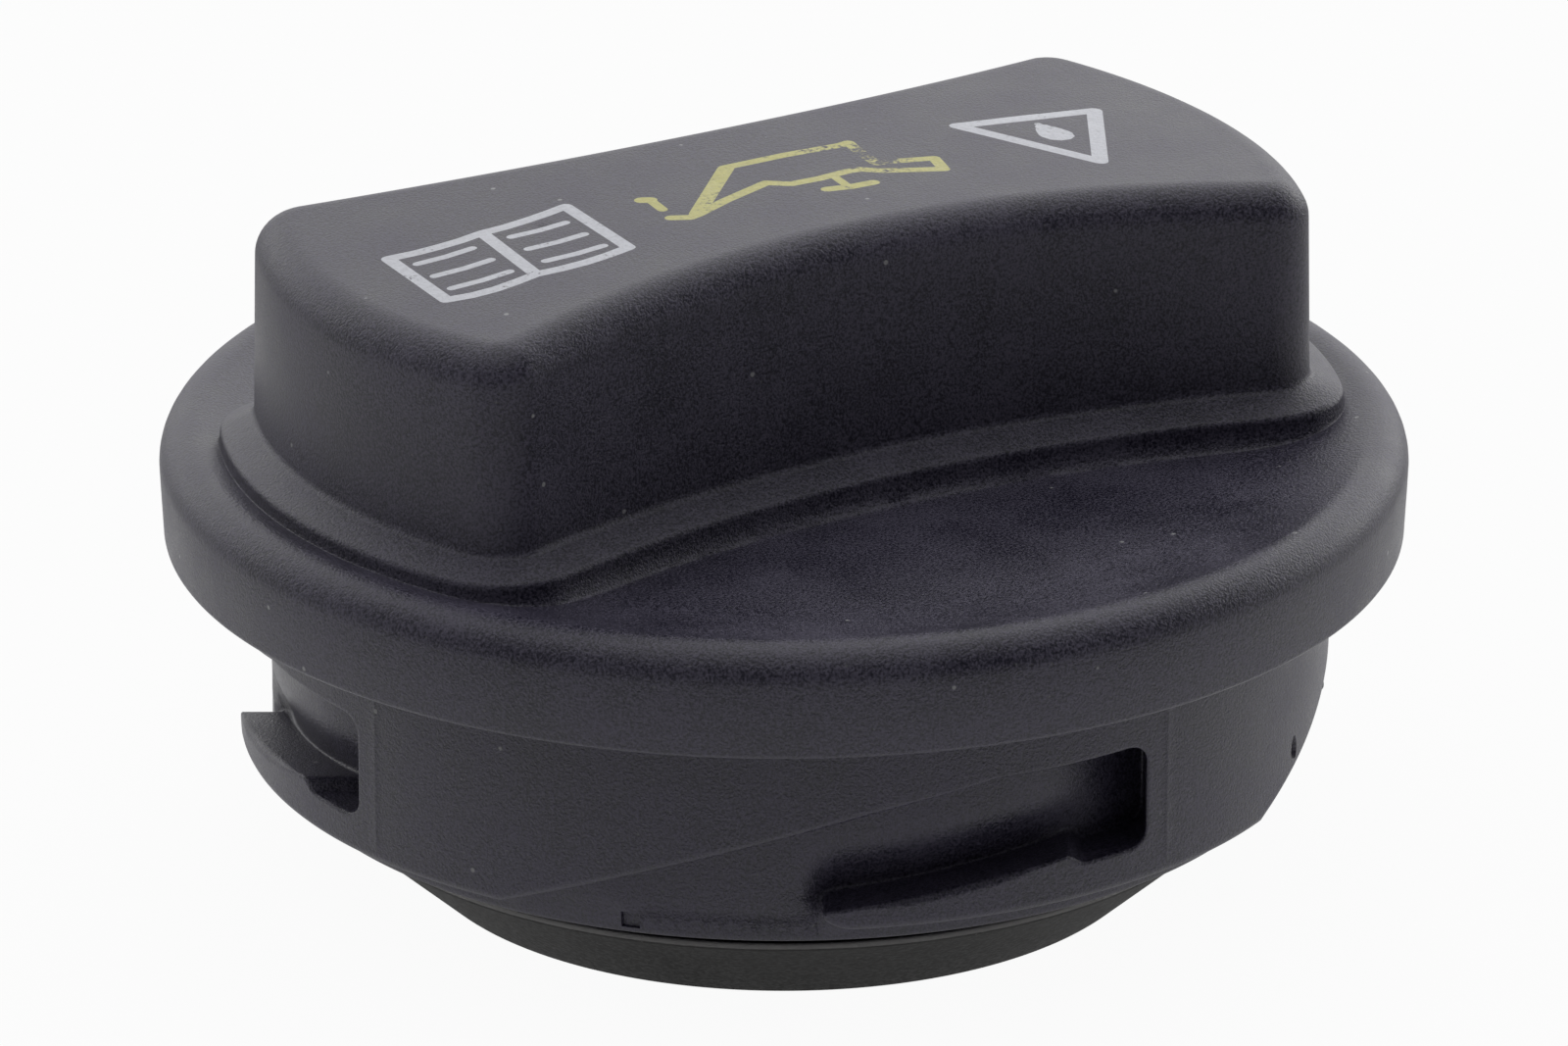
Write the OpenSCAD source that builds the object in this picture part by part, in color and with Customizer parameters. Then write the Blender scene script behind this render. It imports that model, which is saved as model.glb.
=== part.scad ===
// Oil filler cap with a bar grip and a four-slot bayonet spigot.
// Two pieces: one glass-filled nylon moulding and one rubber lip seal.
// The origin is the centre of the resting face, +Z is up and the grip lies along X.

/* [Flange] */
// Outside diameter of the flange
flange_d = 70; // [68:0.5:74]
// Height of the flange's lower edge above the resting face
flange_z = 19.8; // [19.6:0.2:22]
// Height of the flange, from its lower edge to the rim's crest
flange_h = 6.2; // [5.8:0.2:8]
// Radius of the rounded upper rim
rim_r = 2; // [1:0.1:2.6]
// Draft of the band between the rim and the lower edge, in degrees
band_draft = 2.5; // [0:0.5:4]
// Slope of the dish where it meets the rim, in degrees
dish_slope = 14; // [6:1:18]
// Radius at which the dish is lowest
dish_low_r = 25; // [22:0.5:27]
// Width of the rim's skirt, measured on its lower face
rim_skirt = 2.2; // [1.8:0.1:2.6]
// Thickness of the flange over its relief groove, measured from the rim's crest
rim_wall = 2.1; // [1.8:0.1:3.4]

/* [Grip] */
// Radius of the grip's rounded ends at the foot
end_r = 29.7; // [28:0.1:30.2]
// Width across the waist of the grip at the foot
waist_w = 20.4; // [18:0.2:23]
// How far each long side is pinched in at the waist
pinch = 4.1; // [2:0.1:5]
// Half the length over which that pinch is measured
pinch_x = 25; // [24:0.5:27]
// Radius of the grip's upright corners at the foot
corner_r = 3; // [2.9:0.1:4]
// Height of the grip's top at its ends, above the resting face
grip_z = 38.7; // [36:0.1:41]
// How much higher the top is over the waist
arch = 1.7; // [0:0.1:2.5]
// Radius of the rounded edge round the top
top_r = 2.1; // [1:0.1:2.2]
// Draft of the grip's walls, in degrees
draft = 1.2; // [0:0.2:1.5]
// Height of the foot ledge above the rim's crest
ledge_h = 1.1; // [0.6:0.1:1.5]
// Width of the foot ledge round the grip
ledge_w = 2.3; // [1.8:0.1:2.6]
// Radius of the fillet between wall and foot ledge
foot_r = 1.3; // [0.6:0.1:1.6]
// Depth of the cove that runs from the foot ledge down into the dish
cove_h = 2; // [1.8:0.1:2.4]
// Width of that cove
cove_w = 9; // [6:0.5:10]

/* [Bayonet spigot] */
// Diameter over the lands that carry the slots
land_d = 61.4; // [60.8:0.1:62]
// Height of the lands' lower edge above the resting face
land_z = 7.9; // [7.4:0.1:8.2]
// Depth of the slots below the lands
slot_depth = 1.8; // [1.4:0.1:2.2]
// How far the spigot wall reaches below the lands
skirt_drop = 1.4; // [1:0.1:1.6]
// How much smaller than the slot floors that wall is, in radius
skirt_in = 0.15; // [0.1:0.05:0.3]
// Number of bayonet slots
slot_n = 4; // [2:1:4]
// Angle from the grip's long axis to the slots' middle plane, in degrees
slot_turn = -30.6; // [-45:0.2:45]
// Angle from a slot's middle plane to its closed end
close_a = 40.1; // [39:0.1:42]
// Angle from a slot's middle plane back to the start of its mouth
mouth_a = 30.3; // [28:0.1:31]
// Angle from a slot's middle plane to the tip of its hook
tip_a = 4; // [3:0.5:8]
// Height of the slot's roof above the lands' lower edge
slot_h = 8.1; // [7.6:0.1:8.6]
// Radius of the ramp that leads up from the mouth to the roof
ramp_r = 130; // [100:5:300]
// Where the ramp reaches the roof, measured along the wall from the middle plane
ramp_x = 9.5; // [8:0.5:11]
// Height of the seat at the slot's closed end, above the lands' lower edge
seat_h = 2.15; // [2:0.05:2.6]
// Rise of the detent step next to the seat
detent_h = 0.6; // [0.3:0.1:0.8]
// Length of the seat between the detent and the closed end
seat_l = 3.9; // [3.4:0.1:4.4]
// Thickness of the hook at its tip
tip_h = 1.2; // [1:0.05:1.4]
// Radius of the hook's rounded nose, under its tip
nose_r = 2.6; // [1.6:0.1:3.2]
// Radius of the rounded corners at the closed end
slot_r = 1; // [0.5:0.1:1.2]
// How far the low pad under each mouth stands proud of the wall
pad_t = 0.3; // [0.2:0.05:0.5]
// Length of that pad
pad_l = 9.7; // [8:0.1:11]
// Width of the notch at the pad's end
notch_w = 1; // [0.6:0.1:1.6]

/* [Walls] */
// Wall thickness of the moulding
wall = 2.3; // [1.8:0.1:2.6]
// Outside diameter of the inner tube that carries the seal
tube_d = 38.8; // [37:0.2:39.4]
// Thickness of the inner tube
tube_wall = 2.2; // [1.8:0.1:2.6]

/* [Seal] */
// How far the seal's foot stands out past the tube
seal_t = 1.5; // [1.2:0.1:2]
// How far the lip reaches past the seal's foot
lip_w = 5.2; // [4:0.1:5.6]
// Height of the lip's edge above the resting face
lip_z = 4.85; // [4.3:0.05:5.2]
// Thickness of the lip
lip_t = 0.8; // [0.6:0.05:1.1]
// Height of the seal's collar on the tube
collar_h = 5; // [4.6:0.1:5.4]
// Depth of the groove that holds the collar
groove_depth = 0.9; // [0.6:0.1:1.1]
// How far the tube's end stays above the resting face
tube_gap = 0.5; // [0.3:0.1:0.8]
// Height of the retaining bead at the tube's end
bead_h = 1; // [0.8:0.1:1.2]
// Clearance between the seal and the tube
fit_gap = 0.05; // [0.02:0.01:0.1]

/* [Hidden] */

// Longer than any cutter or core has to be
reach = 100;
// Small edge radii and depths that the moulding has everywhere
low_edge = 0.3;
land_edge = 0.45;
notch_in = 0.5;
core_in = 0.3;
seal_edge = 0.4;
lip_edge = 0.2;
// Height of the seal's web between the collar and the lip
web_h = 1.8;
// Turn of the seal's lower edge, up to where the lip's underside starts
seal_turn = 50;
flange_r = flange_d / 2;
land_r = land_d / 2;
floor_r = land_r - slot_depth;
skirt_r = floor_r - skirt_in;
bore_r = floor_r - wall;
tube_r = tube_d / 2;
tube_bore = tube_r - tube_wall;
groove_r = tube_r - groove_depth;
skirt_z = land_z - skirt_drop;
seal_r = tube_r + seal_t;
lip_r = seal_r + lip_w;
bead_r = (tube_r + groove_r) / 2;
bead_top = tube_gap + bead_h;
crest_z = flange_z + flange_h;
relief_z = crest_z - rim_wall;
band_low_r = flange_r - (flange_h - rim_r) * tan(band_draft);

// Dish: an arc that is level at its lowest radius and runs up into the rim
crest_r = flange_r - rim_r;
dish_r = (crest_r - rim_r * sin(dish_slope) - dish_low_r) / sin(dish_slope);
dish_z = crest_z - rim_r + rim_r * cos(dish_slope) - dish_r * (1 - cos(dish_slope));
plate_z = dish_z - wall;

// Grip outline: end arcs round the origin, long sides on two large arcs,
// with a corner arc between each pair
side_r = (pinch_x * pinch_x + pinch * pinch) / (2 * pinch);
side_y = waist_w / 2 + side_r;
corner_d = end_r - corner_r;
corner_y = (corner_d * corner_d + side_y * side_y - pow(side_r + corner_r, 2)) / (2 * side_y);
corner_x = sqrt(corner_d * corner_d - corner_y * corner_y);
end_a = atan2(corner_y, corner_x);
side_a = atan2(corner_y - side_y, corner_x);
end_steps = 6;
corner_steps = 6;
side_steps = 8;
quarter_steps = end_steps + corner_steps + side_steps;

// Heights of the grip
ledge_z = crest_z + ledge_h;
fillet_z = ledge_z + foot_r;
draft_in = (grip_z - top_r - fillet_z) * tan(draft);
roof_z = grip_z - wall;

function arc(cx, cy, r, a0, a1, steps) =
    [for (i = [0:steps]) let (a = a0 + (a1 - a0) * i / steps) [cx + r * cos(a), cy + r * sin(a)]];

// One quarter of the grip's outline, moved inwards by inset
function grip_quarter(inset) = concat(
    [for (i = [0:end_steps - 1]) let (a = end_a * i / end_steps)
        (end_r - inset) * [cos(a), sin(a)]],
    [for (i = [0:corner_steps - 1]) let (a = end_a + (side_a + 180 - end_a) * i / corner_steps)
        [corner_x, corner_y] + (corner_r - inset) * [cos(a), sin(a)]],
    [for (i = [0:side_steps]) let (a = side_a + (-90 - side_a) * i / side_steps)
        [0, side_y] + (side_r + inset) * [cos(a), sin(a)]]);

// The whole outline, anticlockwise from the +X axis
function grip_outline(inset) = let (q = grip_quarter(inset), n = quarter_steps) concat(
    [for (i = [0:n - 1]) q[i]],
    [for (i = [n:-1:1]) [-q[i][0], q[i][1]]],
    [for (i = [0:n - 1]) -q[i]],
    [for (i = [n:-1:1]) [q[i][0], -q[i][1]]]);

function top_z(x) = grip_z + arch * (1 - pow(x / end_r, 2));

// A ring of the grip below its top edge, at one height all round
function level_ring(inset, z) = [for (p = grip_outline(inset)) [p[0], p[1], z]];

// A ring that follows the arched top, a given depth below it
function arched_ring(inset, depth, scale = 1) =
    [for (p = grip_outline(inset)) [p[0] * scale, p[1] * scale, top_z(p[0] * scale) - depth]];

top_inset = draft_in + top_r;
top_turns = [90, 74, 58, 42, 26, 12, 0];
foot_turns = [0, 30, 60, 90];
edge_turns = [30, 60];
edge_r = 0.5;
ledge_fall = 0.03;
edge_in = ledge_w - edge_r;
crown_scales = [0.3, 0.65, 0.88];
cove_steps = 6;
// The loft's skirt ends below its cove, inside the flange, and past the rim's crest
root_drop = 0.3;
root_z = ledge_z - edge_r - cove_h - root_drop;
grip_over = 0.4;

grip_rings = concat(
    [for (s = crown_scales) arched_ring(top_inset, 0, s)],
    [for (t = top_turns) arched_ring(draft_in + top_r * (1 - cos(t)), top_r * (1 - sin(t)))],
    [for (t = foot_turns) level_ring(-foot_r * (1 - cos(t)), fillet_z - foot_r * sin(t))],
    [level_ring(-edge_in, ledge_z - ledge_fall)],
    [for (t = edge_turns) level_ring(-edge_in - edge_r * sin(t), ledge_z - edge_r * (1 - cos(t)))],
    [for (i = [1:cove_steps]) let (t = i / cove_steps)
        level_ring(-ledge_w - cove_w * t * t, ledge_z - edge_r - cove_h * (1 - (1 - t) * (1 - t)))],
    [level_ring(-ledge_w - cove_w, root_z)]);

module ring_loft(rings) {
    n = len(rings[0]);
    last = (len(rings) - 1) * n;
    points = concat([for (r = rings, p = r) p], [[0, 0, top_z(0)]]);
    crown = [for (i = [0:n - 1]) [len(points) - 1, (i + 1) % n, i]];
    sides = [for (k = [0:len(rings) - 2], i = [0:n - 1], half = [0, 1])
        let (a = k * n + i, b = k * n + (i + 1) % n)
        half == 0 ? [a, b, b + n] : [a, b + n, a + n]];
    polyhedron(points, concat(crown, sides, [[for (i = [0:n - 1]) last + i]]), convexity = 6);
}

module grip() {
    intersection() {
        ring_loft(grip_rings);
        translate([0, 0, root_z]) cylinder(r = crest_r + grip_over, h = reach, $fn = 96);
    }
}

// The turned profile starts in the middle of the land between two slots
start_a = slot_turn - 90 + (close_a + 360 / slot_n - mouth_a) / 2;

// Flange and spigot without their hollows, as one turned profile
module turned_body() {
    rotate([0, 0, start_a]) rotate_extrude($fn = 120) polygon(concat(
        [[0, skirt_z]],
        arc(skirt_r - low_edge, skirt_z + low_edge, low_edge, -90, 0, 3),
        [[skirt_r, land_z]],
        arc(land_r - land_edge, land_z + land_edge, land_edge, -90, 0, 4),
        [[land_r, relief_z], [band_low_r - rim_skirt, relief_z],
            [band_low_r - rim_skirt, flange_z]],
        arc(band_low_r - low_edge, flange_z + low_edge, low_edge, -90, 0, 3),
        arc(crest_r, crest_z - rim_r, rim_r, 0, 90 + dish_slope, 8),
        arc(dish_low_r, dish_z + dish_r, dish_r, -90 + dish_slope, -90, 6),
        [[0, dish_z]]));
}

// The space inside the moulding, open at the bottom, with the inner tube left standing
module hollow() {
    difference() {
        union() {
            translate([0, 0, -cut_drop]) cylinder(r = bore_r, h = plate_z + cut_drop, $fn = 96);
            intersection() {
                translate([0, 0, plate_z - cut_drop]) linear_extrude(roof_z - plate_z + cut_drop)
                    polygon(grip_outline(draft_in + wall));
                cylinder(r = bore_r - core_in, h = reach, $fn = 96);
            }
        }
        ring(tube_r, tube_bore, -2 * cut_drop, roof_z + cut_drop);
    }
}

// Slot outline in the plane that faces its slide: X runs along the wall, Y is up
slot_end = land_r * sin(close_a);
mouth_x = -land_r * sin(mouth_a);
tip_x = land_r * sin(tip_a);
tip_r = 0.3;
tip_turn = 35;
nose_turn = 45;
nose_dip = 0.05;
nose_x = tip_x + tip_r * (1 - cos(tip_turn)) + nose_r * cos(nose_turn);
step_x = slot_end - seat_l;
detent_run = 0.9;
mouth_ease = 2.2;
ramp_ease = 2;
roof_fall = 0.35;
cut_drop = 1;
slot_roof_z = land_z + slot_h;
seat_z = land_z + seat_h;
ramp_chord = [ramp_x - mouth_x, slot_h - roof_fall];
ramp_half = norm(ramp_chord) / 2;
ramp_dir = atan2(ramp_chord[1], ramp_chord[0]);
ramp_half_a = asin(ramp_half / ramp_r);
ramp_c = [mouth_x, land_z] + ramp_chord / 2 + ramp_r * cos(ramp_half_a) * [sin(ramp_dir), -cos(ramp_dir)];

module slot_outline() {
    polygon(concat(
        [[mouth_x - mouth_ease, land_z - cut_drop]],
        arc(ramp_c[0], ramp_c[1], ramp_r, 90 + ramp_dir + ramp_half_a, 90 + ramp_dir - ramp_half_a, 8),
        [[ramp_x + ramp_ease, slot_roof_z]],
        arc(slot_end - slot_r, slot_roof_z - slot_r, slot_r, 90, 0, 5),
        arc(slot_end - slot_r, seat_z + slot_r, slot_r, 0, -90, 5),
        [[step_x + detent_run / 2, seat_z], [step_x - detent_run / 2, seat_z + detent_h]],
        arc(tip_x + tip_r, land_z + tip_h - tip_r, tip_r, 90, 180 + tip_turn, 4),
        arc(nose_x, land_z + nose_r - nose_dip, nose_r, 180 + nose_turn, 270, 4),
        [[nose_x, land_z - cut_drop]]));
}

module slot_cutter() {
    difference() {
        rotate([90, 0, 0]) linear_extrude(reach) slot_outline();
        translate([0, 0, land_z - 2 * cut_drop]) cylinder(r = floor_r, h = slot_h + 4 * cut_drop, $fn = 120);
    }
}

// Low pad on the wall under a slot's mouth; a notch in the wall sets off its end
pad_end = tip_x - tip_r;
pad_start = pad_end - pad_l;
pad_gap = 0.1;
pad_z = skirt_z + low_edge + pad_gap;
pad_top = land_z - pad_gap;

// A block of the wall from x0 to x1, out to radius r
module wall_block(x0, x1, r, z0, z1) {
    intersection() {
        translate([x0, -reach, z0]) cube([x1 - x0, reach - bore_r + cut_drop, z1 - z0]);
        cylinder(r = r, h = reach, $fn = 120);
    }
}

module each_slot() {
    for (k = [0:slot_n - 1]) rotate([0, 0, slot_turn + 360 * k / slot_n]) children();
}

module notch_cutter() {
    difference() {
        wall_block(pad_start - notch_w, pad_start, land_r, skirt_z - cut_drop, pad_top);
        cylinder(r = skirt_r - notch_in, h = reach, $fn = 120);
    }
}

// A ring between two radii, used for the tube and its groove
module ring(r_out, r_in, z0, z1) {
    translate([0, 0, z0]) difference() {
        cylinder(r = r_out, h = z1 - z0, $fn = 96);
        translate([0, 0, -cut_drop]) cylinder(r = r_in, h = z1 - z0 + 2 * cut_drop, $fn = 96);
    }
}

module cap_body() {
    color([0.16, 0.15, 0.17])
    difference() {
        union() {
            difference() {
                turned_body();
                each_slot() slot_cutter();
            }
            each_slot() wall_block(pad_start, pad_end, skirt_r + pad_t, pad_z, pad_top);
            grip();
            ring(tube_r, tube_bore, tube_gap, dish_z);
        }
        hollow();
        each_slot() notch_cutter();
        // groove that holds the seal's collar, and the slimmer bead below it
        ring(tube_r + cut_drop, groove_r, bead_top, collar_h);
        ring(tube_r + cut_drop, bead_r, tube_gap - cut_drop, bead_top);
    }
}

module lip_seal() {
    inner_r = groove_r + fit_gap;
    foot_in = bead_r + fit_gap;
    collar_top = collar_h - fit_gap;
    step_z = bead_top - fit_gap;
    color([0.13, 0.13, 0.12])
    rotate_extrude($fn = 120) polygon(concat(
        [[foot_in, 0]],
        arc(seal_r - seal_edge, seal_edge, seal_edge, -90, -90 + seal_turn, 3),
        [[lip_r, lip_z], [lip_r - lip_edge, lip_z + 2 * lip_edge]],
        [[seal_r + lip_t, lip_t + web_h], [seal_r, collar_top], [inner_r, collar_top]],
        [[inner_r, step_z], [foot_in, step_z]]));
}

cap_body();
lip_seal();
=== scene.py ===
"""Oil filler cap: a black moulding with a bar grip and a bayonet spigot, and its lip seal."""

import math

import bmesh
import bpy
import numpy as np
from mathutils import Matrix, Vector
from mathutils.geometry import delaunay_2d_cdt


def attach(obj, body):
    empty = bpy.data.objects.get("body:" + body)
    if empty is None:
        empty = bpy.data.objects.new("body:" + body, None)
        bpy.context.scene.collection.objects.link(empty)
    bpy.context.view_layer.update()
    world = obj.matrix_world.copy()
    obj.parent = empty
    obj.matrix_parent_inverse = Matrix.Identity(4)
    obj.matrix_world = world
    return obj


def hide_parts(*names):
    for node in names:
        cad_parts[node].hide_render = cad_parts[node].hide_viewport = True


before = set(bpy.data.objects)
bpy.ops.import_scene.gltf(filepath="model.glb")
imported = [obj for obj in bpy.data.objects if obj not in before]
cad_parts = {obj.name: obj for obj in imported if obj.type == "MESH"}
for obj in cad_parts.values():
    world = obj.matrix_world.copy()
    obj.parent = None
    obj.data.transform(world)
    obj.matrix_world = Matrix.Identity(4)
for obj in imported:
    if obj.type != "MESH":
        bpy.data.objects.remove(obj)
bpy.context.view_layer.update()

# Lengths are in millimetres and angles in radians, unless a comment says otherwise
MM = 0.001

# Flange: a dished disc with a rounded rim, a drafted band and a relief groove under it
FLANGE_R = 35.0
FLANGE_Z = 19.8
CREST_Z = 26.0
RIM_R = 2.0
CREST_R = FLANGE_R - RIM_R
BAND_H, BAND_DRAFT = 4.2, math.radians(2.5)
BAND_LOW_R = FLANGE_R - BAND_H * math.tan(BAND_DRAFT)
BAND_MIDDLE = (FLANGE_R - 0.06, 22.6)
RIM_SKIRT, SKIRT_BEVEL = 2.2, 0.15
RELIEF_Z, RELIEF_EDGE = 23.9, 0.2
DISH_SLOPE = math.radians(14)
DISH_LOW_R = 25.0
DISH_R = (CREST_R - RIM_R * math.sin(DISH_SLOPE) - DISH_LOW_R) / math.sin(DISH_SLOPE)
DISH_Z = CREST_Z - RIM_R * (1 - math.cos(DISH_SLOPE)) - DISH_R * (1 - math.cos(DISH_SLOPE))
LOW_EDGE = 0.3

# Grip: round ends, corner arcs and pinched sides, on a sloping ledge with a cove below it
END_R = 29.7
CORNER_R = 3.0
PINCH, PINCH_X, WAIST_Y = 4.1, 25.0, 10.2
SIDE_R = (PINCH_X ** 2 + PINCH ** 2) / (2 * PINCH)
SIDE_Y = WAIST_Y + SIDE_R
CORNER_D = END_R - CORNER_R
CORNER_Y = (CORNER_D ** 2 + SIDE_Y ** 2 - (SIDE_R + CORNER_R) ** 2) / (2 * SIDE_Y)
CORNER_X = math.sqrt(CORNER_D ** 2 - CORNER_Y ** 2)
END_A = math.atan2(CORNER_Y, CORNER_X)
SIDE_A = math.atan2(CORNER_Y - SIDE_Y, CORNER_X)
GRIP_Z, ARCH, TOP_R = 38.7, 1.7, 2.1
WALL_DRAFT = math.radians(1.2)
LEDGE_Z = 27.1
LEDGE_W, LEDGE_FALL = 1.95, math.radians(25)
FOOT_R, EDGE_R, EDGE_DROP = 0.55, 0.45, 0.75
COVE_H, COVE_W, COVE_BLEND, COVE_START = 1.8, 1.35, 0.15, 0.3
FALL_RUN = LEDGE_W - EDGE_R * (1 - math.sin(LEDGE_FALL)) - FOOT_R * (1 - math.sin(LEDGE_FALL))
FILLET_Z = (LEDGE_Z - EDGE_DROP + EDGE_R * math.cos(LEDGE_FALL) + FALL_RUN * math.tan(LEDGE_FALL)
            + FOOT_R * math.cos(LEDGE_FALL))
DRAFT_IN = (GRIP_Z - TOP_R - FILLET_Z) * math.tan(WALL_DRAFT)
TOP_MARGIN = 0.12
TOP_INSET = DRAFT_IN + TOP_R + TOP_MARGIN

# Bayonet spigot: lands, and slots whose widths are measured across from each slot's middle
LAND_R, LAND_Z, LAND_TOP, LAND_ROW = 30.7, 7.9, 19.0, 0.4
FLOOR_R, SKIRT_R, SKIRT_Z, SKIRT_STEP = 28.9, 28.75, 6.5, 0.35
SLOT_N = 4
SLOT_PITCH = 2 * math.pi / SLOT_N
SLOT_TURN = math.radians(-30.6)
FIRST_SLOT = SLOT_TURN - math.pi / 2
SEAM_A = FIRST_SLOT + math.radians(50)
SLOT_END = LAND_R * math.sin(math.radians(40.1))
MOUTH_X = -LAND_R * math.sin(math.radians(30.3))
TIP_X = LAND_R * math.sin(math.radians(4))
ROOF_Z = LAND_Z + 8.1
RAMP_R, RAMP_X = 130.0, 9.5
ROOF_FALL, RAMP_EASE = 0.35, 2.0
END_CORNER = 1
SEAT_Z = LAND_Z + 2.15
STEP_X = SLOT_END - 3.9
DETENT_H, DETENT_RUN, DETENT_SPAN = 0.6, 0.9, 1.2
TIP_H, TIP_R, NOSE_R = 1.2, 0.3, 2.6
PAD_T, PAD_END = 0.14, TIP_X - TIP_R
PAD_START = PAD_END - 9.7
PAD_LOW, PAD_TOP = 6.9, 7.8
NOTCH_W, NOTCH_IN, NOTCH_LOW = 1.0, 0.2, 6.86
BLOCK_STEP, BLOCK_BEVEL = 0.5, 0.05

# How far a slot's floor sinks, over what height and width, and how the sink starts and ends
SINK, SINK_H, SINK_W = 1.1, 3.2, 6.5
BEFORE_TIP, TIP_BLEND = 1.6, 2.6
ABOVE_FOOT, FOOT_BLEND = 0.3, 1.2
PAST_END, END_BLEND = 2, 1.5

# Roundings of the lands' edge: at the slots, along ramp and lower edge, and on top of the hook
TRIM_FINE, TRIM_COARSE, TRIM_HOOK = 0.2, 0.42, 0.46
MOUTH_BLEND, RAMP_BLEND = 2.5, 5
HOOK_LEAD, HOOK_TAIL, HOOK_BLEND, HOOK_CLEAR = 2, 1.5, 3, 0.2
TIP_TRIM, TIP_REACH = 0.6, 3
FLOOR_FILLET, HOOK_FILLET_CUT = 0.25, 0.12
SUPPORT = 0.1
PLAIN_STEP = 0.5

# Parting lines of the slides, one beside each slot, and a nick on the right of the land
PARTING_A, PARTING_W, PARTING_H = math.radians(43.1), 0.16, 0.025
PARTING_LOW, PARTING_TOP, PARTING_SLACK = LAND_Z + 0.9, LAND_TOP - 0.3, 0.05
NICK_A, NICK_Z = FIRST_SLOT + math.radians(67.4), 10.9
NICK_W, NICK_H, NICK_D, NICK_SAG = 0.42, 0.75, 0.4, 0.2

# Inside of the moulding
WALL = 2.3
BORE_R = FLOOR_R - WALL
PLATE_Z = DISH_Z - WALL
GRIP_ROOF_Z = GRIP_Z - WALL
TUBE_R, TUBE_BORE = 19.4, 17.2
TUBE_Z, BEAD_Z, COLLAR_Z = 0.5, 1.5, 5.0
BEAD_R, GROOVE_R = 18.95, 18.5

# Seal
SEAL_R = TUBE_R + 1.5
LIP_R, LIP_Z = TUBE_R + 6.7, 4.85
FIT_GAP = 0.05

# Meshes: columns in each stretch of a quarter of the grip's outline, and rows down the skin.
# The dish's rows are round from DISH_OUT_R on, and RIM_SPLIT past the crest they go by angle
END_COLUMNS, CORNER_COLUMNS, SIDE_COLUMNS = 26, 32, 54
WALL_ROWS, DISH_ROWS, RIM_ROWS = 9, 26, 8
DISH_BUNCH = 1.6
DISH_OUT_R, RIM_SPLIT = 32.3, 0.9
SKIRT_COLUMNS, SEAL_COLUMNS = 400, 360
BORE_COLUMNS, TUBE_COLUMNS = 192, 160
RAMP_STEPS, DETENT_STEPS, NOSE_STEPS = 60, 8, 9
TOP_LOW, TOP_HIGH, TOP_PITCH, TOP_CLEAR = (-30, -14), (30, 14), 1.3, 0.35
WALL_PITCH, WALL_CLEAR = 0.9, 0.45
ROW_RISE = 0.87
CLOSE, TUBE_SLACK, CDT_SLACK, BLOCK_SLACK = 0.02, 0.03, 1e-6, 1e-4
WELD, SHARP = 0.001, math.radians(38)


def turn_steps(count):
    """Quarter turn from 0 to 90 degrees, in radians."""
    return np.linspace(0, math.pi / 2, count + 1)


def full_turn(count):
    return np.linspace(0, 2 * math.pi, count, endpoint=False)


def smooth_step(share):
    share = np.clip(share, 0, 1)
    return share * share * (3 - 2 * share)


def slot_angle(k):
    """The direction of the middle of slot k, seen from the axis."""
    return FIRST_SLOT + SLOT_PITCH * k


def ring_at(radius, height, angles):
    return np.stack([radius * np.cos(angles), radius * np.sin(angles),
                     np.full(len(angles), float(height))], 1)


def low_edge(radius, height, steps):
    """The rounded lower edge of a round wall, as (radius, height) pairs from the wall inwards."""
    return [(radius - LOW_EDGE * (1 - math.cos(turn)), height + LOW_EDGE * (1 - math.sin(turn)))
            for turn in turn_steps(steps)]


class Skin:
    """The surface of one moulding, made patch by patch in millimetres and welded at the end."""

    def __init__(self):
        self.points = []
        self.faces = []
        self.prints = []
        self.count = 0

    def patch(self, points, faces, printed=None):
        self.points.append(np.asarray(points, float))
        self.faces += [[corner + self.count for corner in face] for face in faces]
        self.prints += list(printed) if printed is not None else [0] * len(faces)
        self.count += len(points)

    def rings(self, rows):
        """Quads between closed rings, each ring below or outside the one before."""
        columns = len(rows[0])
        faces = []
        for row in range(len(rows) - 1):
            for column in range(columns):
                across = (column + 1) % columns
                upper, lower = row * columns, (row + 1) * columns
                faces.append((upper + column, lower + column, lower + across, upper + across))
        self.patch(np.concatenate(rows), faces)

    def turned(self, profile, angles):
        """Rings turned round the axis from (radius, height) pairs."""
        self.rings([ring_at(radius, height, angles) for radius, height in profile])

    def build(self, name, finishes):
        data = bpy.data.meshes.new(name)
        data.from_pydata(np.concatenate(self.points).tolist(), [], self.faces)
        data.polygons.foreach_set("material_index", self.prints)
        mesh = bmesh.new()
        mesh.from_mesh(data)
        bmesh.ops.remove_doubles(mesh, verts=mesh.verts, dist=WELD)
        bmesh.ops.dissolve_degenerate(mesh, edges=mesh.edges, dist=WELD / 10)
        bmesh.ops.recalc_face_normals(mesh, faces=mesh.faces)
        bmesh.ops.scale(mesh, verts=mesh.verts, vec=(MM, MM, MM))
        for face in mesh.faces:
            face.smooth = True
        mesh.to_mesh(data)
        mesh.free()
        for finish in finishes:
            data.materials.append(finish)
        data.set_sharp_from_angle(angle=SHARP)
        piece = bpy.data.objects.new(name, data)
        bpy.context.scene.collection.objects.link(piece)
        return piece


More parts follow.
